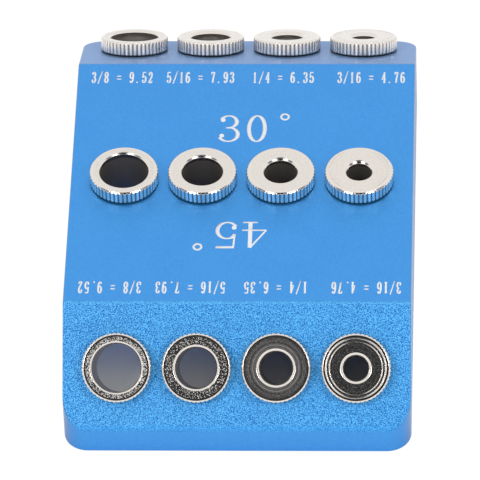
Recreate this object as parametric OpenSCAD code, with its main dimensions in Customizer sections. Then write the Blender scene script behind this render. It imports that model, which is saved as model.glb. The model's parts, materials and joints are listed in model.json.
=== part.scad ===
// Angle drill guide: a block with a steep slope at one end and a shallow slope at the other, and three
// rows of headed drill bushes that stand square to the steep slope, the flat top and the shallow slope.
// X runs along the rows and Y from the steep end to the shallow end. The origin is the middle of the
// underside.

/* [Block] */
// Width of the block, along the rows
block_w = 68; // [64:0.5:90]
// Length of the block, from end face to end face
block_l = 104.6; // [98:0.1:140]
// Height of the block at its flat top
block_h = 23.5; // [21:0.1:30]
// Radius of the four upright corners
corner_r = 4.8; // [1:0.1:8]
// Bevel along the edges of the underside and the sides
edge_bevel = 0.4; // [0.1:0.05:0.8]

/* [Slopes] */
// Angle of the steep slope from the flat top
steep_angle = 45; // [40:1:50]
// Height of the end face below the steep slope
steep_foot_h = 5.7; // [3:0.1:8]
// Distance down the steep slope from its top edge to the bush axes
steep_row_s = 12.85; // [8:0.05:15]
// Angle of the shallow slope from the flat top
shallow_angle = 30; // [25:1:35]
// Length of the shallow slope, measured level
shallow_run = 18.55; // [17.5:0.05:24]
// Distance down the shallow slope from its top edge to the bush axes
shallow_row_s = 12.65; // [8:0.05:13]

/* [Bushes] */
// Distance between neighbouring bushes of a row
bush_pitch = 15.55; // [14.8:0.05:17]
// Diameter of the heads over the crests of the knurl
head_d = 13.6; // [13.2:0.05:14.4]
// Height of the heads
head_h = 3; // [2:0.1:5]
// Bevel round the upper rim of the heads
head_bevel = 0.36; // [0.1:0.02:0.6]
// Teeth round each head
knurl_teeth = 48; // [36:1:60]
// Depth of the grooves between the teeth
knurl_depth = 0.18; // [0.1:0.02:0.4]
// Diameter of the shanks
shank_d = 12; // [11.4:0.05:12.1]
// Radial clearance between a shank and its hole
shank_fit = 0.03; // [0.01:0.01:0.1]
// Height of the lowest shank edge in the steep row above the underside
shank_gap = 0.3; // [0.1:0.1:3]
// Bevel round the lower end of the shanks
shank_bevel = 0.5; // [0.1:0.05:0.6]

/* [Bores] */
// Drill that the widest bore guides
drill_1_d = 9.52; // [9:0.01:9.8]
// Drill that the second bore guides
drill_2_d = 7.93; // [7.5:0.01:8.5]
// Drill that the third bore guides
drill_3_d = 6.35; // [6:0.01:7]
// Drill that the narrowest bore guides
drill_4_d = 4.76; // [4:0.01:5.5]
// Radial clearance between a drill and its bore
drill_fit = 0.025; // [0.01:0.005:0.1]
// Radius of the rounded entry of the widest bore
entry_1_r = 0.45; // [0.2:0.05:0.7]
// Radius of the rounded entry of the second bore
entry_2_r = 0.5; // [0.2:0.05:1]
// Radius of the rounded entry of the third bore
entry_3_r = 0.6; // [0.2:0.05:1]
// Radius of the rounded entry of the narrowest bore
entry_4_r = 0.65; // [0.2:0.05:1]

/* [Hidden] */
$fn = 96;

block_colour = [0.30, 0.61, 0.90];
bush_colour = [0.84, 0.83, 0.80];

// How far every cut runs past the surface that it opens
overrun = 1;
// Bushes in each row
columns = 4;
// Longer than the block, for shapes and holes that run right through it
reach = block_l + block_w;

// Where the slopes meet the flat top, and the height of the bush seats in the steep row
steep_top_y = (block_h - steep_foot_h) / tan(steep_angle) - block_l / 2;
shallow_top_y = block_l / 2 - shallow_run;
steep_seat_z = block_h - steep_row_s * sin(steep_angle);

// The bushes are interchangeable, and the steep row has the least depth, so that row sets their length
shank_l = (steep_seat_z - shank_gap) / cos(steep_angle) - shank_d / 2 * tan(steep_angle);
hole_r = shank_d / 2 + shank_fit;
// Bevel round the lower rim of the heads
rim_bevel = 0.26;
// Bevel at the mouth of each hole, a share of the width that the underside of the head still covers
mouth_share = 0.6;
mouth_bevel = (head_d / 2 - max(knurl_depth, rim_bevel) - hole_r) * mouth_share;
// Wall of the shanks round the widest bore, and the bevels at its lower end, which it limits
shank_wall = shank_d / 2 - drill_1_d / 2 - drill_fit;
bore_bevel = 0.25;
outer_end_bevel = min(shank_bevel, shank_wall / 2);
inner_end_bevel = min(bore_bevel, shank_wall / 4);
// Relief groove that keeps the corner under the head clear of the hole's mouth
relief_h = 0.8;
relief_share = 0.165;
relief_depth = shank_wall * relief_share;

// Each tooth and groove takes one step round the head. The groove's floor and mouth are shares of it
floor_share = 0.14;
mouth_width_share = 0.5;
tooth_step = PI * head_d / knurl_teeth;

// Block

// The block's underside and walls: two crossing bars and four corner posts, bevelled underneath
module walls() {
    length_in = block_l - 2 * corner_r;
    width_in = block_w - 2 * corner_r;
    translate([0, length_in / 2, 0]) rotate([90, 0, 0]) linear_extrude(length_in) bar_section(block_w);
    translate([-width_in / 2, 0, 0]) rotate([90, 0, 90]) linear_extrude(width_in) bar_section(block_l);
    for (x = [-1, 1], y = [-1, 1]) translate([x * width_in / 2, y * length_in / 2, 0]) corner_post();
}

module bar_section(width) {
    polygon([
        [edge_bevel - width / 2, 0], [width / 2 - edge_bevel, 0], [width / 2, edge_bevel],
        [width / 2, block_h + overrun], [-width / 2, block_h + overrun], [-width / 2, edge_bevel]
    ]);
}

module corner_post() {
    rotate_extrude() polygon([
        [0, 0], [corner_r - edge_bevel, 0], [corner_r, edge_bevel],
        [corner_r, block_h + overrun], [0, block_h + overrun]
    ]);
}

// Everything under the plane z = 0, with both long edges of that face bevelled
module under_face() {
    side = block_w / 2 + overrun;
    crest = block_w / 2 - edge_bevel - overrun;
    rotate([90, 0, 0]) translate([0, 0, -reach]) linear_extrude(2 * reach) polygon([
        [-side, -reach], [side, -reach], [side, -edge_bevel - overrun], [crest, overrun],
        [-crest, overrun], [-side, -edge_bevel - overrun]
    ]);
}

// The three top faces together, as a long prism across the block
module top_faces() {
    steep_end = steep_top_y - reach * cos(steep_angle);
    shallow_end = shallow_top_y + reach * cos(shallow_angle);
    rotate([90, 0, 90]) translate([0, 0, -block_w]) linear_extrude(2 * block_w) polygon([
        [steep_end, block_h - reach * sin(steep_angle)], [shallow_end, block_h - reach * sin(shallow_angle)],
        [shallow_top_y, block_h], [steep_top_y, block_h]
    ]);
}

module block() {
    color(block_colour) difference() {
        intersection() {
            walls();
            top_faces();
            on_steep_slope(0) under_face();
            on_flat_top() under_face();
            on_shallow_slope(0) under_face();
        }
        for (column = [0:columns - 1]) {
            on_steep_slope(steep_row_s) in_column(column) bush_hole();
            on_flat_top() in_column(column) bush_hole();
            on_shallow_slope(shallow_row_s) in_column(column) bush_hole();
        }
    }
}

// A through hole with a bevelled mouth at z = 0
module bush_hole() {
    rotate_extrude() polygon([
        [0, -reach], [hole_r, -reach], [hole_r, -mouth_bevel],
        [hole_r + mouth_bevel + overrun, overrun], [0, overrun]
    ]);
}

// Places: each puts its children on one face of the block, with z square to that face

// The distance is measured down the slope from its top edge
module on_steep_slope(distance) {
    translate([0, steep_top_y, block_h]) rotate([steep_angle, 0, 0]) translate([0, -distance, 0]) children();
}

module on_shallow_slope(distance) {
    translate([0, shallow_top_y, block_h]) rotate([-shallow_angle, 0, 0]) translate([0, distance, 0])
        children();
}

// In the middle of the flat top, along the block
module on_flat_top() {
    translate([0, (steep_top_y + shallow_top_y) / 2, block_h]) children();
}

module in_column(column) {
    translate([(column - (columns - 1) / 2) * bush_pitch, 0, 0]) children();
}

// Bushes

// Half section of a bush, with the underside of its head at z = 0
module bush_section(bore_r, entry_r) {
    head_r = head_d / 2;
    shank_r = shank_d / 2;
    difference() {
        polygon([
            [bore_r, inner_end_bevel - shank_l], [bore_r + inner_end_bevel, -shank_l],
            [shank_r - outer_end_bevel, -shank_l], [shank_r, outer_end_bevel - shank_l],
            [shank_r, -relief_h], [shank_r - relief_depth, -relief_h], [shank_r - relief_depth, 0],
            [head_r - rim_bevel, 0], [head_r, rim_bevel],
            [head_r, head_h - head_bevel], [head_r - head_bevel, head_h], [bore_r, head_h]
        ]);
        translate([bore_r, head_h]) entry_corner(entry_r);
    }
}

// What the rounded entry takes off the corner between the bore and the head's top
module entry_corner(entry_r) {
    difference() {
        translate([-overrun, -entry_r]) square([overrun + entry_r, entry_r + overrun]);
        translate([entry_r, -entry_r]) circle(entry_r);
    }
}

// One groove of the straight knurl, cut through the rim along z
module knurl_groove() {
    root_r = head_d / 2 - knurl_depth;
    floor_w = tooth_step * floor_share;
    mouth_w = tooth_step * mouth_width_share;
    flare = (mouth_w - floor_w) / knurl_depth;
    outer_w = floor_w + (knurl_depth + overrun) * flare;
    translate([root_r, 0, -overrun]) linear_extrude(head_h + 2 * overrun) polygon([
        [0, -floor_w / 2], [knurl_depth + overrun, -outer_w / 2],
        [knurl_depth + overrun, outer_w / 2], [0, floor_w / 2]
    ]);
}

module bush(drill_d, entry_r) {
    color(bush_colour) difference() {
        rotate_extrude() bush_section(drill_d / 2 + drill_fit, entry_r);
        for (tooth = [0:knurl_teeth - 1]) rotate([0, 0, tooth * 360 / knurl_teeth]) knurl_groove();
    }
}

module bush_1() { bush(drill_1_d, entry_1_r); }
module bush_2() { bush(drill_2_d, entry_2_r); }
module bush_3() { bush(drill_3_d, entry_3_r); }
module bush_4() { bush(drill_4_d, entry_4_r); }

module bush_45deg_9_52mm() { on_steep_slope(steep_row_s) in_column(0) bush_1(); }
module bush_45deg_7_93mm() { on_steep_slope(steep_row_s) in_column(1) bush_2(); }
module bush_45deg_6_35mm() { on_steep_slope(steep_row_s) in_column(2) bush_3(); }
module bush_45deg_4_76mm() { on_steep_slope(steep_row_s) in_column(3) bush_4(); }
module bush_90deg_9_52mm() { on_flat_top() in_column(0) bush_1(); }
module bush_90deg_7_93mm() { on_flat_top() in_column(1) bush_2(); }
module bush_90deg_6_35mm() { on_flat_top() in_column(2) bush_3(); }
module bush_90deg_4_76mm() { on_flat_top() in_column(3) bush_4(); }
module bush_30deg_9_52mm() { on_shallow_slope(shallow_row_s) in_column(0) bush_1(); }
module bush_30deg_7_93mm() { on_shallow_slope(shallow_row_s) in_column(1) bush_2(); }
module bush_30deg_6_35mm() { on_shallow_slope(shallow_row_s) in_column(2) bush_3(); }
module bush_30deg_4_76mm() { on_shallow_slope(shallow_row_s) in_column(3) bush_4(); }

block();
bush_45deg_9_52mm();
bush_45deg_7_93mm();
bush_45deg_6_35mm();
bush_45deg_4_76mm();
bush_90deg_9_52mm();
bush_90deg_7_93mm();
bush_90deg_6_35mm();
bush_90deg_4_76mm();
bush_30deg_9_52mm();
bush_30deg_7_93mm();
bush_30deg_6_35mm();
bush_30deg_4_76mm();
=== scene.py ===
# Drill guide: an anodised block with twelve headed drill bushes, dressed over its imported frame.
import json
import math
from typing import NamedTuple

import bpy
from bpy.props import FloatProperty, FloatVectorProperty, IntProperty, PointerProperty
from bpy.types import Operator, Panel, PropertyGroup
from mathutils import Matrix, Vector


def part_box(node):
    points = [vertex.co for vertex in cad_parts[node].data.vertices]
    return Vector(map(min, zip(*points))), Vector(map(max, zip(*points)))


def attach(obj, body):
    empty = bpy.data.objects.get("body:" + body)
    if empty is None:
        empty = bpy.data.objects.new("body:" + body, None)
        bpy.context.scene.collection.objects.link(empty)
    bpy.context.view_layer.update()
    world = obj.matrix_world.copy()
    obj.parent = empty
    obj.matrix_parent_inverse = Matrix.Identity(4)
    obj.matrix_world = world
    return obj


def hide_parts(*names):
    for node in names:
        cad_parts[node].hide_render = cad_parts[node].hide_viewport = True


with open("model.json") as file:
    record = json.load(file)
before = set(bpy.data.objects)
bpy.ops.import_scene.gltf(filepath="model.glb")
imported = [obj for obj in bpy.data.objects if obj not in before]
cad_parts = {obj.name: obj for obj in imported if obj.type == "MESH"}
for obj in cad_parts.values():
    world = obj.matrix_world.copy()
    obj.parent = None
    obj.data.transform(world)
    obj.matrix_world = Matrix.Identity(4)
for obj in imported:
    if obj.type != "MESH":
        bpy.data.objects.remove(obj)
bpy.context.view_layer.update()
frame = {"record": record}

bl_info = {
    "name": "Drill Guide",
    "version": (1, 0, 0),
    "blender": (4, 5, 0),
    "location": "View3D > Sidebar > Drill Guide",
    "description": "Builds an angle drill guide with its block, its bushes, its marks and a plain stage",
    "category": "Object",
}

MM = 0.001

# What the frame says of the block, the rows and the bores
BLOCK_LOW, BLOCK_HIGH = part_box("block")
MOUNTS = {mount["name"]: mount for mount in frame["record"]["mounts"]}
ROWS = ("45deg", "90deg", "30deg")
STEEP, FLAT, SHALLOW = ROWS
BORES = ("9_52mm", "7_93mm", "6_35mm", "4_76mm")
FLAT_BUSH_LOW, FLAT_BUSH_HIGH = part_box(f"bush_{FLAT}_{BORES[0]}")
HEAD_HEIGHT = FLAT_BUSH_HIGH.z - BLOCK_HIGH.z
SHANK_LENGTH = BLOCK_HIGH.z - FLAT_BUSH_LOW.z


def bore_of(row, bore):
    """The mount of one bore, which gives its place, its axis and its radius."""
    return MOUNTS[f"bore_{row}_{bore}"]


def row_axis(row):
    return Vector(bore_of(row, BORES[0])["axis"]).normalized()


def seat_of(row, bore):
    """Where a bush's axis meets the face that its head sits on."""
    rise = BLOCK_HIGH.z - bore_of(FLAT, bore)["pos_m"][2]
    return Vector(bore_of(row, bore)["pos_m"]) + row_axis(row) * rise


def place_of(row, bore):
    """Stands a piece that was modelled at the origin square to its face, at its seat."""
    axis = row_axis(row)
    lean = math.atan2(-axis.y, axis.z)
    return Matrix.Translation(seat_of(row, bore)) @ Matrix.Rotation(lean, 4, "X")


def flat_edges():
    """Where the flat top meets the steep slope and the shallow one, along Y."""
    def edge(row):
        seat, axis = seat_of(row, BORES[0]), row_axis(row)
        return seat.y - (BLOCK_HIGH.z - seat.z) * axis.z / axis.y
    return edge(STEEP), edge(SHALLOW)


def srgb(red, green, blue):
    """A colour picked on a screen, 0 to 255, as the linear colour that shaders take."""
    def linear(level):
        share = level / 255
        return share / 12.92 if share <= 0.04045 else ((share + 0.055) / 1.055) ** 2.4
    return (linear(red), linear(green), linear(blue), 1.0)


# Settings

def length(name, description, millimetres):
    """A setting that is a length, with its default in millimetres."""
    return FloatProperty(
        name=name, description=description, default=millimetres * MM, unit="LENGTH", subtype="DISTANCE")


def in_degrees(name, description, degrees):
    """A setting that is an angle, with its default in degrees."""
    return FloatProperty(
        name=name, description=description, default=math.radians(degrees), subtype="ANGLE")


def paint(name, description, *picked):
    """A setting that is a colour, with its default as picked on a screen."""
    return FloatVectorProperty(
        name=name, description=description, default=srgb(*picked), size=4, min=0, max=1, subtype="COLOR")


class BlockSettings(PropertyGroup):
    corner_radius: length("Corner Radius", "Radius of the four upright corners", 4.8)
    edge_rounding: length("Edge Rounding", "Radius that takes the sharpness off every edge", 0.3)
    hole_diameter: length("Hole Diameter", "Diameter of the holes that hold the bushes", 12.06)
    mouth_bevel: length("Mouth Bevel", "Bevel at the mouth of each hole", 0.306)
    colour: paint("Anodising", "Colour of the anodised skin", 38, 152, 233)


class BushSettings(PropertyGroup):
    head_diameter: length("Head Diameter", "Diameter over the crests of the knurl", 13.6)
    rim_bevel: length("Rim Bevel", "Bevel round the upper rim of the head", 0.36)
    teeth: IntProperty(name="Teeth", description="Teeth of the knurl", default=48, min=12)
    knurl_depth: length("Knurl Depth", "Depth of the grooves between the teeth", 0.18)
    shank_diameter: length("Shank Diameter", "Diameter of the shank in its hole", 12)
    colour: paint("Steel", "Colour of the bright turned steel", 229, 223, 216)


class MarkSettings(PropertyGroup):
    numeral_height: length("Numeral Height", "Height of the small numerals beside the bores", 3.28)
    numeral_width: length("Numeral Width", "Width of the small numerals", 0.95)
    numeral_step: length("Numeral Step", "From one small numeral to the next", 1.27)
    angle_height: length("Angle Height", "Height of the large numerals that give each slope's angle", 7.8)
    relief: length("Relief", "How far the marks stand above the face", 0.02)
    colour: paint("Marks", "Colour of the marks", 252, 251, 250)


class StageSettings(PropertyGroup):
    azimuth: in_degrees("Azimuth", "Turn of the camera round the guide", 3.1745)
    elevation: in_degrees("Elevation", "Height of the camera above the horizon", 44.2165)
    roll: in_degrees("Roll", "Tilt of the picture", -2.1417)
    distance: length("Distance", "From the camera to the point that it aims at", 1381.2)
    aim: FloatVectorProperty(
        name="Aim", description="The point at the middle of the picture",
        default=(-0.515 * MM, -5.381 * MM, 12 * MM), size=3, unit="LENGTH", subtype="TRANSLATION")
    lens: FloatProperty(
        name="Lens", description="Focal length on a sensor 36 mm wide, in millimetres", default=520.39)
    lamp_power: FloatProperty(
        name="Lamp Power", description="Power of each of the two soft lamps",
        default=1.9, unit="POWER", subtype="NONE")
    floor_colour: paint("Floor", "Colour of the floor", 246, 246, 246)


# Small steps that every piece uses

# Points closer than this are one
TOUCHING = 0.001 * MM
NORMAL_WEIGHT = 80


def object_mode():
    if bpy.context.object and bpy.context.object.mode != "OBJECT":
        bpy.ops.object.mode_set(mode="OBJECT")


def fresh():
    """Leaves nothing selected, so that a new primitive is shaped by itself."""
    object_mode()
    bpy.ops.object.select_all(action="DESELECT")


def take(piece):
    """Leaves this piece alone selected and active."""
    fresh()
    piece.select_set(True)
    bpy.context.view_layer.objects.active = piece


def discard(*pieces):
    for piece in pieces:
        bpy.data.objects.remove(piece)


def pick(piece, kind, wanted):
    """Selects what the test wants, in edit mode: points by place, edges by both ends, faces by middle."""
    take(piece)
    bpy.ops.object.mode_set(mode="EDIT")
    bpy.ops.mesh.select_mode(type=kind)
    bpy.ops.mesh.select_all(action="DESELECT")
    object_mode()
    mesh = piece.data
    parts, places = {
        "VERT": (mesh.vertices, lambda point: [point.co]),
        "EDGE": (mesh.edges, lambda edge: [mesh.vertices[index].co for index in edge.vertices]),
        "FACE": (mesh.polygons, lambda face: [face.center]),
    }[kind]
    for part in parts:
        part.select = wanted(*places(part))
    bpy.ops.object.mode_set(mode="EDIT")


def join_up(pieces):
    """Joins pieces into the first of them, and gives it back."""
    fresh()
    for piece in pieces:
        piece.select_set(True)
    bpy.context.view_layer.objects.active = pieces[0]
    if len(pieces) > 1:
        bpy.ops.object.join()
    return pieces[0]


def copy_of(piece):
    take(piece)
    bpy.ops.object.duplicate(linked=False)
    return bpy.context.object


def dress(piece, material):
    """Gives the piece this material alone."""
    piece.data.materials.clear()
    piece.data.materials.append(material)


def edit_all(piece):
    """Opens the piece in edit mode, with all of it selected."""
    take(piece)
    bpy.ops.object.mode_set(mode="EDIT")
    bpy.ops.mesh.select_all(action="SELECT")


def widen(ratio):
    """Widens what is selected about the upright axis."""
    bpy.ops.transform.resize(value=(ratio, ratio, 1), center_override=(0, 0, 0))


def apply_modifier(piece, kind, **options):
    """Adds a modifier, sets its options and applies it."""
    take(piece)
    bpy.ops.object.modifier_add(type=kind)
    modifier = piece.modifiers[-1]
    for name, value in options.items():
        setattr(modifier, name, value)
    bpy.ops.object.modifier_apply(modifier=modifier.name)


def smooth(piece, angle):
    """Shades round stretches smooth, and keeps flat faces flat up to their edges.

    The normals are weighted on the piece at a thousand times its size, because the modifier takes faces
    as small as these for equals.
    """
    take(piece)
    bpy.ops.object.shade_smooth_by_angle(angle=angle)
    piece.data.transform(Matrix.Scale(1 / MM, 4))
    apply_modifier(piece, "WEIGHTED_NORMAL", mode="FACE_AREA", weight=NORMAL_WEIGHT, keep_sharp=True)
    piece.data.transform(Matrix.Scale(MM, 4))


def settle(piece):
    """Puts the place, turn and size of the object into its mesh."""
    take(piece)
    bpy.ops.object.transform_apply(location=True, rotation=True, scale=True)


def close_up(piece):
    """Merges the points that meet, and turns every face outwards."""
    edit_all(piece)
    bpy.ops.mesh.remove_doubles(threshold=TOUCHING)
    bpy.ops.mesh.normals_make_consistent(inside=False)
    object_mode()


def turn_rings(outline, sides):
    """Draws a circle out from ring to ring along a closed outline of (radius, height) points."""
    fresh()
    start_r, start_z = outline[0]
    bpy.ops.mesh.primitive_circle_add(vertices=sides, radius=start_r, fill_type="NOTHING")
    piece = bpy.context.object
    bpy.ops.object.mode_set(mode="EDIT")
    bpy.ops.mesh.select_mode(type="EDGE")
    bpy.ops.mesh.select_all(action="SELECT")
    bpy.ops.transform.translate(value=(0, 0, start_z))
    for (from_r, from_z), (to_r, to_z) in zip(outline, outline[1:] + outline[:1]):
        bpy.ops.mesh.extrude_region_move(TRANSFORM_OT_translate={"value": (0, 0, to_z - from_z)})
        widen(to_r / from_r)
    close_up(piece)
    return piece


def arc(centre_r, centre_z, radius, start, end, steps):
    """Points of an arc in a half section, from one angle to another, both ends included."""
    return [
        (centre_r + radius * math.cos(angle), centre_z + radius * math.sin(angle))
        for angle in (start + (end - start) * step / steps for step in range(steps + 1))
    ]


# Node building

# The coarse part of the grain, next to the fine part, and the heights that its tone runs between
COARSE_SCALE = 0.28
GRAIN_RANGE = (0.32, 0.68)
# What a plain noise runs between, but for rare peaks
NOISE_RANGE = (0.3, 0.7)
WHITE = (1.0, 1.0, 1.0, 1.0)


def fill(tree, node, values):
    """Sets a node's inputs to values, or links them to the outputs of other nodes."""
    for socket, value in values.items():
        if isinstance(value, bpy.types.NodeSocket):
            tree.links.new(value, node.inputs[socket])
        else:
            node.inputs[socket].default_value = value


def add_node(tree, kind, values=None, **options):
    """Adds a node, sets its options and fills its inputs."""
    made = tree.nodes.new(kind)
    for name, option in options.items():
        setattr(made, name, option)
    fill(tree, made, values or {})
    return made


def calculate(tree, operation, *terms):
    """One step of arithmetic on values."""
    return add_node(tree, "ShaderNodeMath", dict(enumerate(terms)), operation=operation).outputs[0]


def product(tree, first, *others):
    """Multiplies values."""
    for other in others:
        first = calculate(tree, "MULTIPLY", first, other)
    return first


def weighted_sum(tree, start, *pairs):
    """Adds values to a start, each times its weight."""
    for value, weight in pairs:
        start = calculate(tree, "MULTIPLY_ADD", value, weight, start)
    return start


def largest(tree, first, *others):
    for other in others:
        first = calculate(tree, "MAXIMUM", first, other)
    return first


def the_rest(tree, share):
    """What a share leaves of 1."""
    return calculate(tree, "SUBTRACT", 1.0, share)


def split(tree, place):
    """The X, Y and Z of a place."""
    return add_node(tree, "ShaderNodeSeparateXYZ", {0: place}).outputs


def blend_colours(tree, share, first, second):
    """Mixes two colours by a share from 0 to 1."""
    return add_node(tree, "ShaderNodeMix", {0: share, 6: first, 7: second}, data_type="RGBA").outputs[2]


def shade(colour, factors, lifts=(0.0, 0.0, 0.0)):
    """A colour with its channels multiplied and lifted, and none of them past full strength."""
    channels = (min(level * factor + lift, 1.0) for level, factor, lift in zip(colour, factors, lifts))
    return (*channels, 1.0)


def spread(tree, value, low, high, to_low=0.0, to_high=1.0):
    """Maps a range of values smoothly onto another."""
    made = add_node(
        tree, "ShaderNodeMapRange",
        {"Value": value, "From Min": low, "From Max": high, "To Min": to_low, "To Max": to_high},
        interpolation_type="SMOOTHSTEP")
    return made.outputs["Result"]


def add_noise(tree, place, scale, detail, roughness=0.5):
    return add_node(tree, "ShaderNodeTexNoise", {
        "Vector": place, "Scale": scale, "Detail": detail, "Roughness": roughness}).outputs["Fac"]


def new_material(name):
    """An empty material, its node tree and its shader."""
    material = bpy.data.materials.new(name)
    material.use_nodes = True
    tree = material.node_tree
    tree.nodes.clear()
    shader = add_node(tree, "ShaderNodeBsdfPrincipled")
    add_node(tree, "ShaderNodeOutputMaterial", {"Surface": shader.outputs[0]})
    return material, tree, shader


def blasted_grain():
    """Fine uneven grain, as blasting or coarse turning leaves it: a height, and a tone about 0.5."""
    group = bpy.data.node_groups.new("Blasted Grain", "ShaderNodeTree")
    for label, kind, default in (
        ("Place", "NodeSocketVector", (0.0, 0.0, 0.0)), ("Grain Size", "NodeSocketFloat", 0.4 * MM),
        ("Coarse Share", "NodeSocketFloat", 0.3), ("Detail", "NodeSocketFloat", 2.0),
    ):
        group.interface.new_socket(label, in_out="INPUT", socket_type=kind).default_value = default
    for label in ("Height", "Tone"):
        group.interface.new_socket(label, in_out="OUTPUT", socket_type="NodeSocketFloat")
    given = add_node(group, "NodeGroupInput").outputs
    scale = calculate(group, "DIVIDE", 1.0, given["Grain Size"])
    fine = add_noise(group, given["Place"], scale, given["Detail"], 0.6)
    coarse = add_noise(group, given["Place"], product(group, scale, COARSE_SCALE), 2.0)
    height = add_node(group, "ShaderNodeMix", {0: given["Coarse Share"], 2: fine, 3: coarse}).outputs[0]
    add_node(group, "NodeGroupOutput", {
        "Height": height, "Tone": spread(group, height, *GRAIN_RANGE)})
    return group


def add_grain(tree, place, grain_size, coarse_share, detail):
    """The height and the tone of the grain at a place."""
    group = bpy.data.node_groups.get("Blasted Grain") or blasted_grain()
    grain = add_node(tree, "ShaderNodeGroup", node_tree=group)
    fill(tree, grain, {
        "Place": place, "Grain Size": grain_size, "Coarse Share": coarse_share, "Detail": detail})
    return grain.outputs["Height"], grain.outputs["Tone"]


def add_bump(tree, height, distance, strength=1.0):
    """A normal that follows a height."""
    bump = add_node(tree, "ShaderNodeBump", {
        "Strength": strength, "Distance": distance, "Height": height})
    return bump.outputs["Normal"]


# Block

CORNER_STEPS = 14
EDGE_STEPS = 3
HOLE_SIDES = 96
# How far the cutters run past the surfaces that they open
OVERRUN = 1 * MM
# Edges that turn by less than the first get no bevel, and by less than the second are shaded round
BEVELLED_ANGLE = math.radians(20)
BLOCK_SMOOTH_ANGLE = math.radians(31)

BLOCK_GRAIN = 0.18 * MM
# Depths below the steep slope between which its own grain gives way to that of the other faces
SLOPE_SKIN = (0.25 * MM, 0.05 * MM)
# How far above the slope's lower edge its grain reaches full strength, and its share at that edge
GRAIN_FADE = 1.2 * MM
GRAIN_AT_EDGE = 0.4
# The grain that the other faces have, next to the slope's
PLAIN_GRAIN = 0.12
# How much the grain colours the skin and takes off its gleam, and what it makes of red, green and blue
GRAIN_COLOURING = 0.75
GRAIN_DULLING = 0.75
LOW_SPOTS = (0.2, 0.25, 0.45)
HIGH_SPOTS = (1.5, 1.7, 1.5)
HIGH_SPOT_LIFTS = (0.11, 0.06, 0.0)
# How far down from the flat top the slope's upper edge is lightened as a painted highlight, and how much
EDGE_HIGHLIGHT_DEPTH = 0.3 * MM
EDGE_HIGHLIGHT_SHARE = 0.3
CLOUD_SCALE = 90.0
SKIN_ROUGHNESS = (0.42, 0.5)
SLOPE_ROUGHNESS = 0.06


def anodised_material(colour):
    """Blue anodising over a blasted surface, whose grain stands out most on the steep slope."""
    material, tree, shader = new_material("anodised_aluminium")
    place = add_node(tree, "ShaderNodeTexCoord").outputs["Object"]
    rise = split(tree, place)["Z"]
    height, tone = add_grain(tree, place, BLOCK_GRAIN, 0.0, 0.0)

    axis = row_axis(STEEP)
    level = axis.dot(seat_of(STEEP, BORES[0]))
    foot = (level - axis.y * BLOCK_LOW.y) / axis.z
    along = add_node(tree, "ShaderNodeVectorMath", {0: place, 1: axis}, operation="DOT_PRODUCT")
    on_steep = spread(tree, along.outputs["Value"], level - SLOPE_SKIN[0], level - SLOPE_SKIN[1])
    # The grain runs out towards the slope's lower edge
    on_steep = product(tree, on_steep, spread(tree, rise, foot, foot + GRAIN_FADE, GRAIN_AT_EDGE, 1.0))
    depth = weighted_sum(tree, PLAIN_GRAIN, (on_steep, 1.0 - PLAIN_GRAIN))

    high_spots = shade(colour, HIGH_SPOTS, HIGH_SPOT_LIFTS)
    grained = blend_colours(tree, tone, shade(colour, LOW_SPOTS), high_spots)
    base = blend_colours(tree, product(tree, depth, GRAIN_COLOURING), tuple(colour), grained)
    # The edge between the flat top and the steep slope is painted a little lighter: a painted highlight
    edge = spread(tree, rise, BLOCK_HIGH.z - EDGE_HIGHLIGHT_DEPTH, BLOCK_HIGH.z - EDGE_HIGHLIGHT_DEPTH / 2)
    base = blend_colours(tree, product(tree, edge, on_steep, EDGE_HIGHLIGHT_SHARE), base, high_spots)
    # The low spots break up the gleam of the skin
    low_spots = product(tree, the_rest(tree, tone), on_steep)
    roughness = spread(tree, add_noise(tree, place, CLOUD_SCALE, 3.0), *NOISE_RANGE, *SKIN_ROUGHNESS)
    fill(tree, shader, {
        "Base Color": base, "Metallic": 0.8, "Specular Tint": (0.2, 0.18, 0.15, 1.0),
        "Roughness": weighted_sum(tree, roughness, (on_steep, SLOPE_ROUGHNESS)),
        "Coat Weight": weighted_sum(tree, 1.0, (low_spots, -GRAIN_DULLING)), "Coat Roughness": 0.38,
        "Sheen Weight": 0.47, "Sheen Roughness": 0.3,
        "Normal": add_bump(tree, product(tree, height, depth), 0.12 * MM, 0.6),
    })
    return material


def add_bar():
    """The block's bar, as large as the frame's box."""
    fresh()
    bpy.ops.mesh.primitive_cube_add(
        size=1, location=(BLOCK_LOW + BLOCK_HIGH) / 2, scale=BLOCK_HIGH - BLOCK_LOW)
    bar = bpy.context.object
    bar.name = "anodised_block"
    settle(bar)
    return bar


def round_corners(bar, radius):
    """Rounds the four upright corners."""
    pick(bar, "EDGE", lambda one, other: abs(one.z - other.z) > radius)
    bpy.ops.mesh.bevel(offset=radius, segments=CORNER_STEPS, affect="EDGES")
    object_mode()


def cut_slope(bar, row):
    """Cuts the bar along the face that this row of bushes sits on."""
    edit_all(bar)
    bpy.ops.mesh.bisect(
        plane_co=seat_of(row, BORES[0]), plane_no=row_axis(row), use_fill=True, clear_outer=True)
    object_mode()


def add_hole_cutter(row, bore, size):
    """A round bar through the block along one bush's axis, flared where it leaves the face."""
    axis = row_axis(row)
    radius = size.hole_diameter / 2
    lean = math.hypot(axis.x, axis.y) / axis.z
    straight = seat_of(row, bore).z / axis.z + radius * lean + OVERRUN - size.mouth_bevel
    fresh()
    bpy.ops.mesh.primitive_cylinder_add(vertices=HOLE_SIDES, radius=radius, depth=straight)
    cutter = bpy.context.object
    pick(cutter, "FACE", lambda middle: middle.z > straight / 2 - OVERRUN)
    flare = size.mouth_bevel + OVERRUN
    bpy.ops.mesh.extrude_region_move(TRANSFORM_OT_translate={"value": (0, 0, flare)})
    widen((radius + flare) / radius)
    object_mode()
    below_seat = Matrix.Translation((0, 0, -straight / 2 - size.mouth_bevel))
    cutter.data.transform(place_of(row, bore) @ below_seat)
    return cutter


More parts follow.
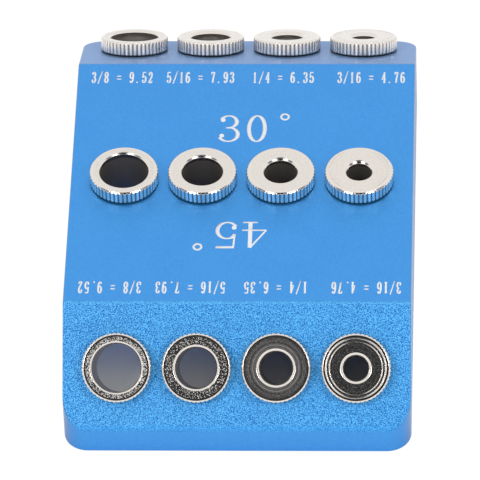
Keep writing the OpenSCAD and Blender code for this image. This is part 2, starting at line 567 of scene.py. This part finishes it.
def drill_holes(bar, size):
    """Drills the twelve holes in one cut."""
    cutter = join_up([add_hole_cutter(row, bore, size) for row in ROWS for bore in BORES])
    apply_modifier(bar, "BOOLEAN", operation="DIFFERENCE", object=cutter, solver="EXACT")
    discard(cutter)


class GUIDE_OT_block(Operator):
    """Models the block: a rounded bar cut by two slopes, softened along its edges and drilled through"""
    bl_idname = "guide.block"
    bl_label = "Anodised Block"

    def execute(self, context):
        size = context.scene.guide_block
        bar = add_bar()
        round_corners(bar, size.corner_radius)
        cut_slope(bar, STEEP)
        cut_slope(bar, SHALLOW)
        apply_modifier(
            bar, "BEVEL", width=size.edge_rounding, segments=EDGE_STEPS, limit_method="ANGLE",
            angle_limit=BEVELLED_ANGLE)
        drill_holes(bar, size)
        close_up(bar)
        smooth(bar, BLOCK_SMOOTH_ANGLE)
        dress(bar, anodised_material(size.colour))
        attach(bar, "block")
        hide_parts("block")
        return {"FINISHED"}


# Bushes

# Widths of the rounded entries, widest bore first, and how far their surface leans at its two edges
ENTRY_WIDTHS = (0.45 * MM, 0.56 * MM, 0.66 * MM, 0.7 * MM)
ENTRY_OUTER_LEAN = math.radians(22)
ENTRY_INNER_LEAN = math.radians(57)
ENTRY_STEPS = 7
POINTS_PER_TOOTH = 10
# Shares of one tooth's step that the groove's floor and its mouth take
FLOOR_SHARE = 0.14
MOUTH_SHARE = 0.5
# What the bush has below its head, and the small bevels on its edges
RELIEF_HEIGHT = 0.8 * MM
RELIEF_DEPTH = 0.2 * MM
SHANK_BEVEL = 0.5 * MM
BORE_BEVEL = 0.25 * MM
LOWER_RIM_BEVEL = 0.26 * MM
# How far the two edges of the rim's bevel are softened
RIM_SOFTENING = 0.06 * MM
# Polished band that borders the rim of the head's face, and how softly the face runs out into it
LAND_WIDTH = 0.42 * MM
LAND_BLUR = 0.06 * MM
# How far below the top the face's finish begins and is whole
FACE_SKIN = (0.02 * MM, 0.005 * MM)
STEEL_GRAIN = 0.21 * MM
TURNING_SCALE = 5000.0
# Turned steps of the face: their place as a share of the head's radius, half width and relative height
TURNED_STEPS = ((0.86, 0.16 * MM, 1.0), (0.76, 0.1 * MM, 0.5))
HAZE_WIDTH = 1.7 * MM


class FaceFinish(NamedTuple):
    """How the face of a head is finished, with its depths and heights in millimetres."""
    torn: float             # share of the face that is torn to specks
    dull: float             # how dull the specks are
    grain: float            # depth of the grain
    turning: float = 0.0    # depth of the turning marks
    steps: float = 0.0      # height of the turned steps
    haze: float = 0.0       # how dull the face is round its entry


# Widest bore first
FINISHES = (
    FaceFinish(torn=0.38, dull=0.36, grain=0.016),
    FaceFinish(torn=0.13, dull=0.42, grain=0.013),
    FaceFinish(torn=0.0, dull=0.2, grain=0.003, turning=0.018, steps=0.004, haze=0.1),
    FaceFinish(torn=0.0, dull=0.35, grain=0.004, turning=0.004, steps=0.1),
)
# How dull the turning marks are for each millimetre of their depth, and the noise that they show in
RING_DULLNESS = 15
RING_RANGE = (0.48, 0.66)
# Heights over which the painted shade under the head's rim fades, and depths over which that in the bore
# gathers
RIM_SHADE = (0.65 * MM, 0.3 * MM)
BORE_SHADE = (0.7 * MM, 1.6 * MM)
# Painted shade in the grooves and the bore, next to the painted shade under the rim, and what is left of the
# colour there
GROOVE_PAINTED_SHADE = 0.65
BORE_PAINTED_SHADE = 0.32
PAINTED_SHADE_TONE = (0.08,) * 3
GRAIN_TONE = (0.88,) * 3
# Roughness of the face, and what the bore, the rim's side and the specks add to it
FACE_ROUGHNESS = 0.14
BORE_ROUGHNESS = 0.2
SIDE_ROUGHNESS = 0.12
SPECK_ROUGHNESS = 0.2
# How much less metallic the bore and the rim's side are
BORE_DULLNESS = 0.07
SIDE_DULLNESS = 0.03
# Lighter colour of the knurl's crests and the rim's side, brighter than the worked face: a painted highlight
RIM_SIDE_HIGHLIGHT_COLOUR = srgb(246, 238, 230)
BUSH_SMOOTH_ANGLE = math.radians(32)
# Name of the attribute that keeps each bush's own coordinates, which turned marks follow
TURNED = "turned"


def rim_outline(size):
    """The bevel round the upper rim, with both its edges softened and rings where the grooves run out."""
    head_r = size.head_diameter / 2
    low, inner = HEAD_HEIGHT - size.rim_bevel, head_r - size.rim_bevel
    lift = RIM_SOFTENING * math.sqrt(0.5)
    return [
        (head_r, low - RIM_SOFTENING), (head_r - lift, low + lift),
        *((head_r - share * size.knurl_depth, low + share * size.knurl_depth) for share in (0.5, 1)),
        (inner + lift, HEAD_HEIGHT - lift), (inner - RIM_SOFTENING, HEAD_HEIGHT),
    ]


def entry_outline(bore_r, width):
    """The rounded cone that leads a drill from the head's face into the bore."""
    bend = width / (math.sin(ENTRY_INNER_LEAN) - math.sin(ENTRY_OUTER_LEAN))
    centre_r = bore_r + bend * math.sin(ENTRY_INNER_LEAN)
    centre_z = HEAD_HEIGHT - bend * math.cos(ENTRY_OUTER_LEAN)
    upright = math.pi / 2
    return arc(
        centre_r, centre_z, bend, upright + ENTRY_OUTER_LEAN, upright + ENTRY_INNER_LEAN, ENTRY_STEPS)


def bush_outline(size, bore_r, entry_width):
    """Closed half section of a bush, with the underside of its head at height 0."""
    head_r = size.head_diameter / 2
    shank_r = size.shank_diameter / 2
    waist_r = shank_r - RELIEF_DEPTH
    return [
        (bore_r, BORE_BEVEL - SHANK_LENGTH), (bore_r + BORE_BEVEL, -SHANK_LENGTH),
        (shank_r - SHANK_BEVEL, -SHANK_LENGTH), (shank_r, SHANK_BEVEL - SHANK_LENGTH),
        (shank_r, -RELIEF_HEIGHT), (waist_r, -RELIEF_HEIGHT), (waist_r, 0),
        (head_r - LOWER_RIM_BEVEL, 0), (head_r, LOWER_RIM_BEVEL),
        *rim_outline(size),
        *entry_outline(bore_r, entry_width),
    ]


def groove_share(point, teeth):
    """How deep the knurl is at a point round the rim, from 0 at a crest to 1 at a groove's floor."""
    step = math.atan2(point.y, point.x) * teeth / (2 * math.pi)
    offset = abs(step - round(step))
    depth = (MOUTH_SHARE / 2 - offset) / ((MOUTH_SHARE - FLOOR_SHARE) / 2)
    return round(min(max(depth, 0.0), 1.0), 3)


def press_knurl(bush, size):
    """Presses the grooves into the rim, one depth on one ring at a time."""
    head_r = size.head_diameter / 2
    rings = sorted({round(radius, 8) for radius, _ in rim_outline(size)} | {head_r - LOWER_RIM_BEVEL})
    near = 0.002 * MM
    depths = sorted({groove_share(point.co, size.teeth) for point in bush.data.vertices} - {0.0})
    for ring in rings:
        for depth in depths:
            groove_r = head_r - depth * size.knurl_depth
            if groove_r >= ring:
                continue
            pick(bush, "VERT", lambda co: (
                abs(math.hypot(co.x, co.y) - ring) < near and groove_share(co, size.teeth) == depth))
            widen(groove_r / ring)
    object_mode()


def keep_turned_coordinates(bush):
    """Stores each point's place on the bush itself, before the bush goes to its seat."""
    mesh = bush.data
    marks = mesh.attributes.new(TURNED, "FLOAT_VECTOR", "POINT")
    for index, point in enumerate(mesh.vertices):
        marks.data[index].vector = point.co


def model_bush(size, bore_r, entry_width):
    bush = turn_rings(bush_outline(size, bore_r, entry_width), size.teeth * POINTS_PER_TOOTH)
    press_knurl(bush, size)
    keep_turned_coordinates(bush)
    smooth(bush, BUSH_SMOOTH_ANGLE)
    return bush


def ridge(tree, radius, middle, half_width):
    """A smooth low ridge round the axis, from 0 beside it to 1 along its top."""
    distance = calculate(tree, "ABSOLUTE", calculate(tree, "SUBTRACT", radius, middle))
    return spread(tree, distance, half_width, 0.0)


def face_relief(tree, radius, across, rings, height, finish, head_r):
    """Height of the face's grain, turning marks and turned steps, in millimetres."""
    step = weighted_sum(tree, 0.0, *(
        (ridge(tree, radius, head_r * share, half_width), rise)
        for share, half_width, rise in TURNED_STEPS))
    # The steps stand highest on two sides of the head
    aside = calculate(tree, "DIVIDE", calculate(tree, "ABSOLUTE", across), radius)
    step = product(tree, step, spread(tree, aside, 0.2, 0.95, 0.2, 1.0))
    swing, turning = (calculate(tree, "SUBTRACT", value, 0.5) for value in (height, rings))
    return weighted_sum(
        tree, 0.0, (swing, finish.grain), (turning, finish.turning), (step, finish.steps))


def steel_material(size, bore, mouth_r, finish):
    """Bright turned steel: a grainy face with a polished land round it, a rim painted lighter as a highlight,
    and painted shade in the grooves, under the rim and down the bore.
    """
    material, tree, shader = new_material(f"turned_steel_{bore}")
    place = add_node(tree, "ShaderNodeAttribute", attribute_name=TURNED).outputs["Vector"]
    across, along, up = split(tree, place)
    flat = add_node(tree, "ShaderNodeCombineXYZ", {0: across, 1: along})
    radius = add_node(tree, "ShaderNodeVectorMath", {0: flat.outputs[0]}, operation="LENGTH").outputs["Value"]
    ring_place = add_node(tree, "ShaderNodeCombineXYZ", {0: radius})
    rings = add_noise(tree, ring_place.outputs[0], TURNING_SCALE, 2.0)
    height, tone = add_grain(tree, place, STEEL_GRAIN, 0.05, 0.5)

    # Where the face, the rim's side, its grooves and the bore are
    head_r = size.head_diameter / 2
    land_r = head_r - size.rim_bevel - LAND_WIDTH
    on_top = spread(tree, up, HEAD_HEIGHT - FACE_SKIN[0], HEAD_HEIGHT - FACE_SKIN[1])
    face = product(tree, on_top, spread(tree, radius, land_r, land_r + LAND_BLUR, 1.0, 0.0))
    outer = calculate(tree, "GREATER_THAN", radius, size.shank_diameter / 2 + 0.1 * MM)
    below_bevel = spread(tree, up, HEAD_HEIGHT - 0.6 * size.rim_bevel, HEAD_HEIGHT - size.rim_bevel)
    on_side = product(tree, below_bevel, outer)
    in_groove = product(tree, spread(tree, radius, head_r, head_r - size.knurl_depth), on_side)
    under_rim = product(tree, spread(tree, up, *RIM_SHADE), outer)
    deep = spread(tree, up, *(HEAD_HEIGHT - depth for depth in BORE_SHADE))
    in_bore = product(tree, deep, the_rest(tree, outer))

    # Painted shade in the knurl's grooves, under the head's rim and down the bore
    painted_shade = largest(
        tree, product(tree, in_groove, GROOVE_PAINTED_SHADE), under_rim, product(tree, in_bore, BORE_PAINTED_SHADE))
    share = product(tree, tone, face, 0.2 + finish.torn)
    worked = blend_colours(tree, share, tuple(size.colour), shade(size.colour, GRAIN_TONE))
    # The rim's side and the knurl's crests take a lighter colour: a painted highlight
    worked = blend_colours(tree, on_side, worked, RIM_SIDE_HIGHLIGHT_COLOUR)
    specks = product(tree, spread(tree, tone, 0.95 - finish.torn, 1.1 - finish.torn), face)
    ring_tone = product(tree, spread(tree, rings, *RING_RANGE), face)
    haze = product(tree, spread(tree, radius, mouth_r + HAZE_WIDTH, mouth_r), face)
    dullness = weighted_sum(
        tree, 0.0, (in_bore, BORE_DULLNESS), (on_side, SIDE_DULLNESS), (specks, finish.dull),
        (ring_tone, finish.turning * RING_DULLNESS), (haze, finish.haze))
    relief = face_relief(tree, radius, across, rings, height, finish, head_r)
    fill(tree, shader, {
        "Base Color": blend_colours(tree, painted_shade, worked, shade(size.colour, PAINTED_SHADE_TONE)),
        "Metallic": the_rest(tree, dullness),
        "Roughness": weighted_sum(
            tree, FACE_ROUGHNESS, (in_bore, BORE_ROUGHNESS), (on_side, SIDE_ROUGHNESS),
            (specks, SPECK_ROUGHNESS)),
        "Normal": add_bump(tree, product(tree, relief, face), MM),
    })
    return material


class GUIDE_OT_bushes(Operator):
    """Models one bush for each bore, and seats a copy of it in each of the three rows"""
    bl_idname = "guide.bushes"
    bl_label = "Drill Bushes"

    def execute(self, context):
        size = context.scene.guide_bush
        for bore, entry_width, finish in zip(BORES, ENTRY_WIDTHS, FINISHES):
            bore_r = bore_of(FLAT, bore)["dims"]["r_mm"] * MM
            master = model_bush(size, bore_r, entry_width)
            dress(master, steel_material(size, bore, bore_r + entry_width, finish))
            for row in ROWS:
                bush = copy_of(master)
                bush.name = f"steel_bush_{row}_{bore}"
                bush.data.transform(place_of(row, bore))
                node = f"bush_{row}_{bore}"
                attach(bush, node)
                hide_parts(node)
            discard(master)
        return {"FINISHED"}


# Marks

# Plain numbers for the bore in front or behind, widest bore first: parts of an inch, then millimetres
BORE_NUMBERS = ("3/8 = 9.52", "5/16 = 7.93", "1/4 = 6.35", "3/16 = 4.76")
LABEL_PLACES = (-25 * MM, -9.2 * MM, 7.5 * MM, 25.2 * MM)
# From each edge of the flat top to the middle of the small numerals
LABEL_INSET = 4 * MM
# The same to the foot of the large numerals, with their height as a share of the set one
ANGLE_LINES = {SHALLOW: (22.9 * MM, 1.0), STEEP: (22.48 * MM, 0.965)}
# Left edge and width of each large sign, measured from the middle of the block
ANGLE_SIGNS = {
    SHALLOW: (("3", -5.1 * MM, 4.3 * MM), ("0", 0.6 * MM, 4.0 * MM), ("degree", 7.15 * MM, 1.95 * MM)),
    STEEP: (("4", -5.45 * MM, 4.8 * MM), ("5", 0.4 * MM, 4.35 * MM), ("degree", 7.2 * MM, 1.95 * MM)),
}
# Width and height of the nibs that draw the upright, the thin and the level strokes, and the end balls
SMALL_NIBS = {"pen": (0.35, 0.18), "hair": (0.23, 0.2), "bar": (0.22, 0.33), "ball": (0.33, 0.44)}
LARGE_NIBS = {
    "pen": (0.8, 0.36), "hair": (0.36, 0.38), "bar": (0.36, 0.62), "ring": (0.42, 0.46), "ball": (0.95, 1.1),
}
# Degrees from point to point of a bow, and sides of a ball
BOW_STEP = 12
BALL_SIDES = 20
# Height of the degree ring next to its width, and of its foot next to the numerals' height
RING_HEIGHT = 1.02
RING_LIFT = 0.81
# How deep the marks reach into the face, so that they are closed on it all round
MARK_DEPTH = 0.06 * MM
MARK_GRAIN = 0.15 * MM
MARK_ROUGHNESS = (0.5, 0.7)
WORN_TONE = (0.95,) * 3


def bow(middle_x, middle_y, half_width, half_height, start=0, end=360):
    """Points along part of an ellipse, from one angle in degrees to another."""
    steps = max(round(abs(end - start) / BOW_STEP), 2)
    angles = (math.radians(start + (end - start) * step / steps) for step in range(steps + 1))
    return [(middle_x + half_width * math.cos(angle), middle_y + half_height * math.sin(angle))
            for angle in angles]


def turned_over(strokes):
    """The same strokes turned upside down in their box."""
    return [(nib, [(1 - x, 1 - y) for x, y in points]) for nib, points in strokes]


def strokes_of(sign):
    """Middle lines of a sign's strokes, as shares of its box, each with the nib that draws it."""
    six = [
        ("pen", bow(0.5, 0.31, 0.5, 0.31)),
        ("pen", bow(0.55, 0.52, 0.55, 0.48, 55, 180) + [(0, 0.31)]),
        ("ball", [(0.82, 0.88)]),
    ]
    return {
        "0": [("pen", bow(0.5, 0.5, 0.5, 0.5))],
        "1": [("pen", [(0.5, 0), (0.5, 1)]), ("hair", [(0.5, 0.98), (0.12, 0.82)]),
              ("hair", [(0.05, 0), (0.95, 0)])],
        "2": [("pen", bow(0.48, 0.71, 0.46, 0.29, 160, -25) + [(0.05, 0.02)]),
              ("bar", [(0, 0), (0.97, 0)]), ("hair", [(0.95, 0), (1, 0.18)]), ("ball", [(0.1, 0.76)])],
        "3": [("pen", bow(0.46, 0.765, 0.48, 0.235, 155, -85)), ("hair", [(0.3, 0.53), (0.55, 0.53)]),
              ("pen", bow(0.46, 0.27, 0.57, 0.27, 85, -155)), ("ball", [(0.12, 0.83)]),
              ("ball", [(0.07, 0.22)])],
        "4": [("pen", [(0.74, 0), (0.74, 1)]), ("hair", [(0.72, 0.99), (-0.05, 0.31)]),
              ("hair", [(-0.05, 0.31), (1.14, 0.31)]), ("hair", [(0.38, 0), (1.12, 0)])],
        "5": [("bar", [(0.06, 0.98), (1.1, 0.98)]), ("hair", [(0.08, 1), (0.02, 0.46)]),
              ("pen", [(0.02, 0.47)] + bow(0.46, 0.32, 0.57, 0.32, 118, -150)), ("ball", [(0.07, 0.21)])],
        "6": six,
        "7": [("bar", [(0.02, 0.98), (1, 0.98)]), ("hair", [(0.03, 1), (0, 0.8)]),
              ("pen", [(0.96, 0.98), (0.6, 0.5), (0.38, 0)])],
        "8": [("pen", bow(0.5, 0.76, 0.43, 0.24)), ("pen", bow(0.5, 0.26, 0.5, 0.26))],
        "9": turned_over(six),
        ".": [("ball", [(0.3, 0.03)])],
        "=": [("bar", [(-0.1, 0.34), (1.1, 0.34)]), ("bar", [(-0.1, 0.62), (1.1, 0.62)])],
        "/": [("hair", [(-0.05, -0.1), (1.05, 1.1)])],
        "degree": [("ring", bow(0.5, 0.5, 0.5, 0.5))],
    }[sign]


def add_line(name, points, closed=False):
    """A line straight from point to point, at height 0."""
    curve = bpy.data.curves.new(name, "CURVE")
    line = curve.splines.new("POLY")
    line.points.add(len(points) - 1)
    line.use_cyclic_u = closed
    for point, (x, y) in zip(line.points, points):
        point.co = (x, y, 0, 1)
    piece = bpy.data.objects.new(name, curve)
    bpy.context.collection.objects.link(piece)
    return piece


def draw_stroke(points, nib, profile, thickness):
    """A flat stroke that is as wide in each direction as the nib makes it."""
    closed = math.dist(points[0], points[-1]) < TOUCHING
    middle = points[:-1] if closed else points
    last = len(middle) - 1
    stroke = add_line("stroke", middle, closed)
    curve = stroke.data
    curve.dimensions = "2D"
    curve.fill_mode = "NONE"
    curve.bevel_mode = "OBJECT"
    curve.bevel_object = profile
    for index, point in enumerate(curve.splines[0].points):
        before = middle[index - 1] if closed or index else middle[0]
        after = middle[(index + 1) % len(middle)] if closed or index < last else middle[last]
        run = Vector((after[0] - before[0], after[1] - before[1])).normalized()
        point.radius = (run.y ** 2 * nib[0] + run.x ** 2 * nib[1]) / 2
    take(stroke)
    bpy.ops.object.convert(target="MESH")
    apply_modifier(stroke, "SOLIDIFY", thickness=thickness, offset=0)
    close_up(stroke)
    return stroke


def draw_ball(place, nib, thickness):
    """A round dot, or the ball that a numeral's stroke ends in."""
    fresh()
    bpy.ops.mesh.primitive_cylinder_add(vertices=BALL_SIDES, radius=0.5, depth=thickness)
    ball = bpy.context.object
    ball.location = (*place, 0)
    ball.scale = (*nib, 1)
    settle(ball)
    return ball


def model_sign(sign, width, height, nibs, profile, thickness):
    """One sign, lying on its back with the lower left corner of its box at the origin."""
    strokes = strokes_of(sign)
    pen_x = max(nibs[kind][0] for kind, _ in strokes) * MM
    pen_y = nibs["hair"][1] * MM
    parts = []
    for kind, shares in strokes:
        nib = [side * MM for side in nibs[kind]]
        points = [(pen_x / 2 + x * (width - pen_x), pen_y / 2 + y * (height - pen_y)) for x, y in shares]
        if kind == "ball":
            parts.append(draw_ball(points[0], nib, thickness))
        else:
            parts.append(draw_stroke(points, nib, profile, thickness))
    body, *others = parts
    for part in others:
        apply_modifier(body, "BOOLEAN", operation="UNION", object=part, solver="EXACT", use_self=True)
        discard(part)
    return body


def print_marks(name, signs, way, size, ink):
    """Copies signs to their places on the flat top, and joins them into one mark.

    The signs are pairs of a model and its place from the middle of the top. Way -1 turns the mark round.
    """
    copies = []
    for model, (x, y) in signs:
        copy = copy_of(model)
        copy.data.transform(Matrix.Translation((x, y, 0)))
        copies.append(copy)
    mark = join_up(copies)
    mark.name = name
    middle_z = BLOCK_HIGH.z + (size.relief - MARK_DEPTH) / 2
    turn = Matrix.Rotation(math.pi if way < 0 else 0, 4, "Z")
    mark.data.transform(Matrix.Translation((0, 0, middle_z)) @ turn)
    dress(mark, ink)
    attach(mark, "block")


def mark_material(colour):
    """Matt white marks, a little uneven where they were burnt into the anodising."""
    material, tree, shader = new_material("white_marks")
    place = add_node(tree, "ShaderNodeTexCoord").outputs["Object"]
    height, tone = add_grain(tree, place, MARK_GRAIN, 0.3, 2.0)
    fill(tree, shader, {
        "Base Color": blend_colours(tree, tone, shade(colour, WORN_TONE), tuple(colour)),
        "Roughness": spread(tree, height, *NOISE_RANGE, *MARK_ROUGHNESS),
        "Coat Weight": 1.0, "Coat Roughness": 0.35,
        "Normal": add_bump(tree, height, 0.02 * MM, 0.4),
    })
    return material


class GUIDE_OT_marks(Operator):
    """Prints plain numbers on the flat top: each bore's size beside it, and each slope's angle"""
    bl_idname = "guide.marks"
    bl_label = "Marks"

    def execute(self, context):
        size = context.scene.guide_marks
        ink = mark_material(size.colour)
        # A level line two units long, which a stroke carries along its middle line
        profile = add_line("nib", [(-1, 0), (1, 0)])
        thickness = size.relief + MARK_DEPTH
        flat_low, flat_high = flat_edges()
        small = {
            sign: model_sign(sign, size.numeral_width, size.numeral_height, SMALL_NIBS, profile, thickness)
            for sign in sorted(set("".join(BORE_NUMBERS)) - {" "})
        }
        for side, way, edge in (("rear", 1, flat_high), ("front", -1, flat_low)):
            line = way * edge - LABEL_INSET - size.numeral_height / 2
            for bore, numbers, middle in zip(BORES, BORE_NUMBERS, LABEL_PLACES):
                start = way * middle - (len(numbers) - 1) / 2 * size.numeral_step - size.numeral_width / 2
                signs = [(small[sign], (start + place * size.numeral_step, line))
                         for place, sign in enumerate(numbers) if sign != " "]
                print_marks(f"mark_{side}_{bore}", signs, way, size, ink)
        for row, way, edge in ((SHALLOW, 1, flat_high), (STEEP, -1, flat_low)):
            inset, share = ANGLE_LINES[row]
            foot = way * edge - inset
            tall = size.angle_height * share
            signs = []
            for sign, left, width in ANGLE_SIGNS[row]:
                height, lift = (width * RING_HEIGHT, tall * RING_LIFT) if sign == "degree" else (tall, 0)
                model = model_sign(sign, width, height, LARGE_NIBS, profile, thickness)
                signs.append((model, (left, foot + lift)))
            print_marks(f"mark_angle_{row}", signs, way, size, ink)
            discard(*(model for model, _ in signs))
        discard(*small.values(), profile)
        return {"FINISHED"}


# Stage

# Direction of the two lamps from the guide, left and right of the camera, and their size
LAMP_TURN = math.radians(37)
LAMP_HEIGHT = math.radians(45)
LAMP_DISTANCE = 1.0
LAMP_SIZE = 0.24
# Radius of the darker patch of the room behind the camera, of its core and of its edge
PATCH_CORE = math.radians(12)
PATCH_EDGE = math.radians(21)
# Darker gaps that metal shows beyond the lamps and above the camera: turn from it and height, in degrees
GAPS = ((-68, 34), (68, 34), (0, 68))
GAP_CORE = math.radians(10)
GAP_EDGE = math.radians(17)
GAP_LIGHT = 0.25
ROOM_LIGHT = 0.7
PATCH_LIGHT = 0.012
PATCH_COLOUR = (0.68, 0.8, 1.0, 1.0)
# How far the floor's white reaches in under the block, its share of the glow, and the glow's strength
WHITE_REACH = 4 * MM
WHITE_SHARE = 0.9
FLOOR_GLOW = 1.07
# Painted glow under the block from the widest bores, the narrowest ones' share of it, and where that begins
PAINTED_BORE_GLOW = 0.17
NARROW_GLOW_SHARE = 0.1
NARROW_EDGE = 12 * MM
PAINTED_GLOW_TINT = (0.55, 0.62, 0.85, 1.0)
PAINTED_GLOW_REACH = 7 * MM
# How far from the block's foot the floor is darker in reflections, from inside it to outside, and how dark: a
# painted shadow
PAINTED_FOOT_SHADOW_REACH = (-1.5 * MM, 6 * MM)
PAINTED_FOOT_SHADOW = 0.12
FLOOR_SIZE = 8.0
SENSOR_WIDTH = 36
CLIP_END = 100


def direction(azimuth, elevation):
    """Unit vector from the guide, with azimuth 0 at the steep end."""
    return Vector((
        math.sin(azimuth) * math.cos(elevation), -math.cos(azimuth) * math.cos(elevation),
        math.sin(elevation)))


def floor_material(size):
    """Pale floor that shows white to the camera and to metal, and keeps a faint shadow of the guide; it has a
    painted glow under the block and a painted shadow near the block's foot in reflections.
    """
    material, tree, shader = new_material("pale_floor")
    fill(tree, shader, {"Base Color": size.floor_colour, "Roughness": 0.9})
    across, along, _ = split(tree, add_node(tree, "ShaderNodeTexCoord").outputs["Object"])
    path = add_node(tree, "ShaderNodeLightPath").outputs
    # How far out from the block's foot the floor is, below 0 under the block
    gap = largest(tree, *(
        calculate(tree, "SUBTRACT", calculate(tree, "ABSOLUTE", value), edge)
        for value, edge in ((across, BLOCK_HIGH.x), (along, BLOCK_HIGH.y))))
    # Painted shadow: reflections show the floor darker close to the block
    open_floor = largest(tree, spread(tree, gap, *PAINTED_FOOT_SHADOW_REACH, PAINTED_FOOT_SHADOW, 1.0), path["Is Camera Ray"])
    outside = product(tree, calculate(tree, "GREATER_THAN", gap, -WHITE_REACH), open_floor)
    # Painted glow under the block: brighter below the wide bores on the left than below the narrow ones on
    # the right
    through = spread(tree, across, NARROW_EDGE, BLOCK_LOW.x, NARROW_GLOW_SHARE * PAINTED_BORE_GLOW, PAINTED_BORE_GLOW)
    lit = largest(tree, product(tree, outside, WHITE_SHARE), through)
    seen = largest(tree, path["Is Camera Ray"], path["Is Glossy Ray"], path["Is Transmission Ray"])
    # The painted glow, seen through the front bores, is warmer and lighter below than above
    seat = seat_of(STEEP, BORES[0])
    behind = seat.y + seat.z
    cool = spread(tree, along, behind - PAINTED_GLOW_REACH, behind + PAINTED_GLOW_REACH)
    tint = blend_colours(tree, product(tree, cool, the_rest(tree, outside)), WHITE, PAINTED_GLOW_TINT)
    glow = add_node(tree, "ShaderNodeEmission", {"Color": tint, "Strength": FLOOR_GLOW})
    both = add_node(tree, "ShaderNodeMixShader", {
        0: product(tree, lit, seen), 1: shader.outputs[0], 2: glow.outputs[0]})
    output = next(node for node in tree.nodes if node.type == "OUTPUT_MATERIAL")
    fill(tree, output, {"Surface": both.outputs[0]})
    return material


def dark_patch(tree, look, side, core, edge, light):
    """The light of a round patch of the room, in this direction, rising to 1 outside it."""
    aligned = add_node(tree, "ShaderNodeVectorMath", {0: look, 1: side}, operation="DOT_PRODUCT")
    return spread(tree, aligned.outputs["Value"], math.cos(core), math.cos(edge), light, 1.0)


def light_room(scene, azimuth, elevation):
    """Even white room light, with a dark patch on the camera's side and darker gaps for metal."""
    world = bpy.data.worlds.new("pale_room")
    world.use_nodes = True
    scene.world = world
    tree = world.node_tree
    tree.nodes.clear()
    look = add_node(tree, "ShaderNodeTexCoord").outputs["Generated"]
    path = add_node(tree, "ShaderNodeLightPath").outputs
    glossy = path["Is Glossy Ray"]
    level = weighted_sum(tree, ROOM_LIGHT, (glossy, 1.0 - ROOM_LIGHT))
    patch = dark_patch(tree, look, direction(azimuth, elevation), PATCH_CORE, PATCH_EDGE, PATCH_LIGHT)
    strength = product(tree, patch, level)
    for turn, height in GAPS:
        side = direction(azimuth + math.radians(turn), math.radians(height))
        gap = dark_patch(tree, look, side, GAP_CORE, GAP_EDGE, GAP_LIGHT)
        strength = product(tree, strength, largest(tree, gap, the_rest(tree, glossy)))
    strength = largest(tree, strength, path["Is Camera Ray"])
    colour = blend_colours(tree, strength, PATCH_COLOUR, WHITE)
    background = add_node(tree, "ShaderNodeBackground", {"Color": colour, "Strength": strength})
    add_node(tree, "ShaderNodeOutputWorld", {"Surface": background.outputs[0]})


def add_lamp(name, turn, power):
    spot = direction(turn, LAMP_HEIGHT) * LAMP_DISTANCE
    fresh()
    bpy.ops.object.light_add(type="AREA", location=spot)
    lamp = bpy.context.object
    lamp.name = name
    lamp.rotation_euler = (-spot).to_track_quat("-Z", "Y").to_euler()
    lamp.data.size = LAMP_SIZE
    lamp.data.energy = power


class GUIDE_OT_stage(Operator):
    """Sets the floor, the soft light and the camera"""
    bl_idname = "guide.stage"
    bl_label = "Stage"

    def execute(self, context):
        scene = context.scene
        size = scene.guide_stage
        fresh()
        bpy.ops.mesh.primitive_plane_add(size=FLOOR_SIZE)
        floor = context.object
        floor.name = "floor"
        dress(floor, floor_material(size))
        away = direction(size.azimuth, size.elevation)
        light_room(scene, size.azimuth, size.elevation)
        for name, turn in (("lamp_left", -LAMP_TURN), ("lamp_right", LAMP_TURN)):
            add_lamp(name, size.azimuth + turn, size.lamp_power)
        fresh()
        bpy.ops.object.camera_add(location=Vector(size.aim) + away * size.distance)
        camera = context.object
        camera.name = "camera"
        level = (-away).to_track_quat("-Z", "Y").to_matrix().to_4x4()
        turned = level @ Matrix.Rotation(size.roll, 4, "Z")
        camera.matrix_world = Matrix.Translation(camera.location) @ turned
        camera.data.lens = size.lens
        camera.data.sensor_width = SENSOR_WIDTH
        camera.data.clip_end = CLIP_END
        scene.camera = camera
        scene.view_settings.view_transform = "Standard"
        return {"FINISHED"}


# What the scene keeps each set of settings as, and the step that uses them
STEPS = (
    ("guide_block", BlockSettings, GUIDE_OT_block),
    ("guide_bush", BushSettings, GUIDE_OT_bushes),
    ("guide_marks", MarkSettings, GUIDE_OT_marks),
    ("guide_stage", StageSettings, GUIDE_OT_stage),
)


class GUIDE_PT_panel(Panel):
    """Lists the steps that build the drill guide, and its settings"""
    bl_idname = "GUIDE_PT_panel"
    bl_label = "Drill Guide"
    bl_space_type = "VIEW_3D"
    bl_region_type = "UI"
    bl_category = "Drill Guide"

    def draw(self, context):
        for settings, _, step in STEPS:
            box = self.layout.box()
            group = getattr(context.scene, settings)
            for name in group.bl_rna.properties.keys():
                if name not in {"rna_type", "name"}:
                    box.prop(group, name)
            box.operator(step.bl_idname)


CLASSES = (*(kind for step in STEPS for kind in step[1:]), GUIDE_PT_panel)


def register():
    for kind in CLASSES:
        bpy.utils.register_class(kind)
    for settings, kind, _ in STEPS:
        setattr(bpy.types.Scene, settings, PointerProperty(type=kind))


def unregister():
    for settings, _, _ in reversed(STEPS):
        delattr(bpy.types.Scene, settings)
    for kind in reversed(CLASSES):
        bpy.utils.unregister_class(kind)


def main():
    register()
    bpy.ops.guide.block()
    bpy.ops.guide.bushes()
    bpy.ops.guide.marks()
    bpy.ops.guide.stage()


if __name__ == "__main__":
    main()
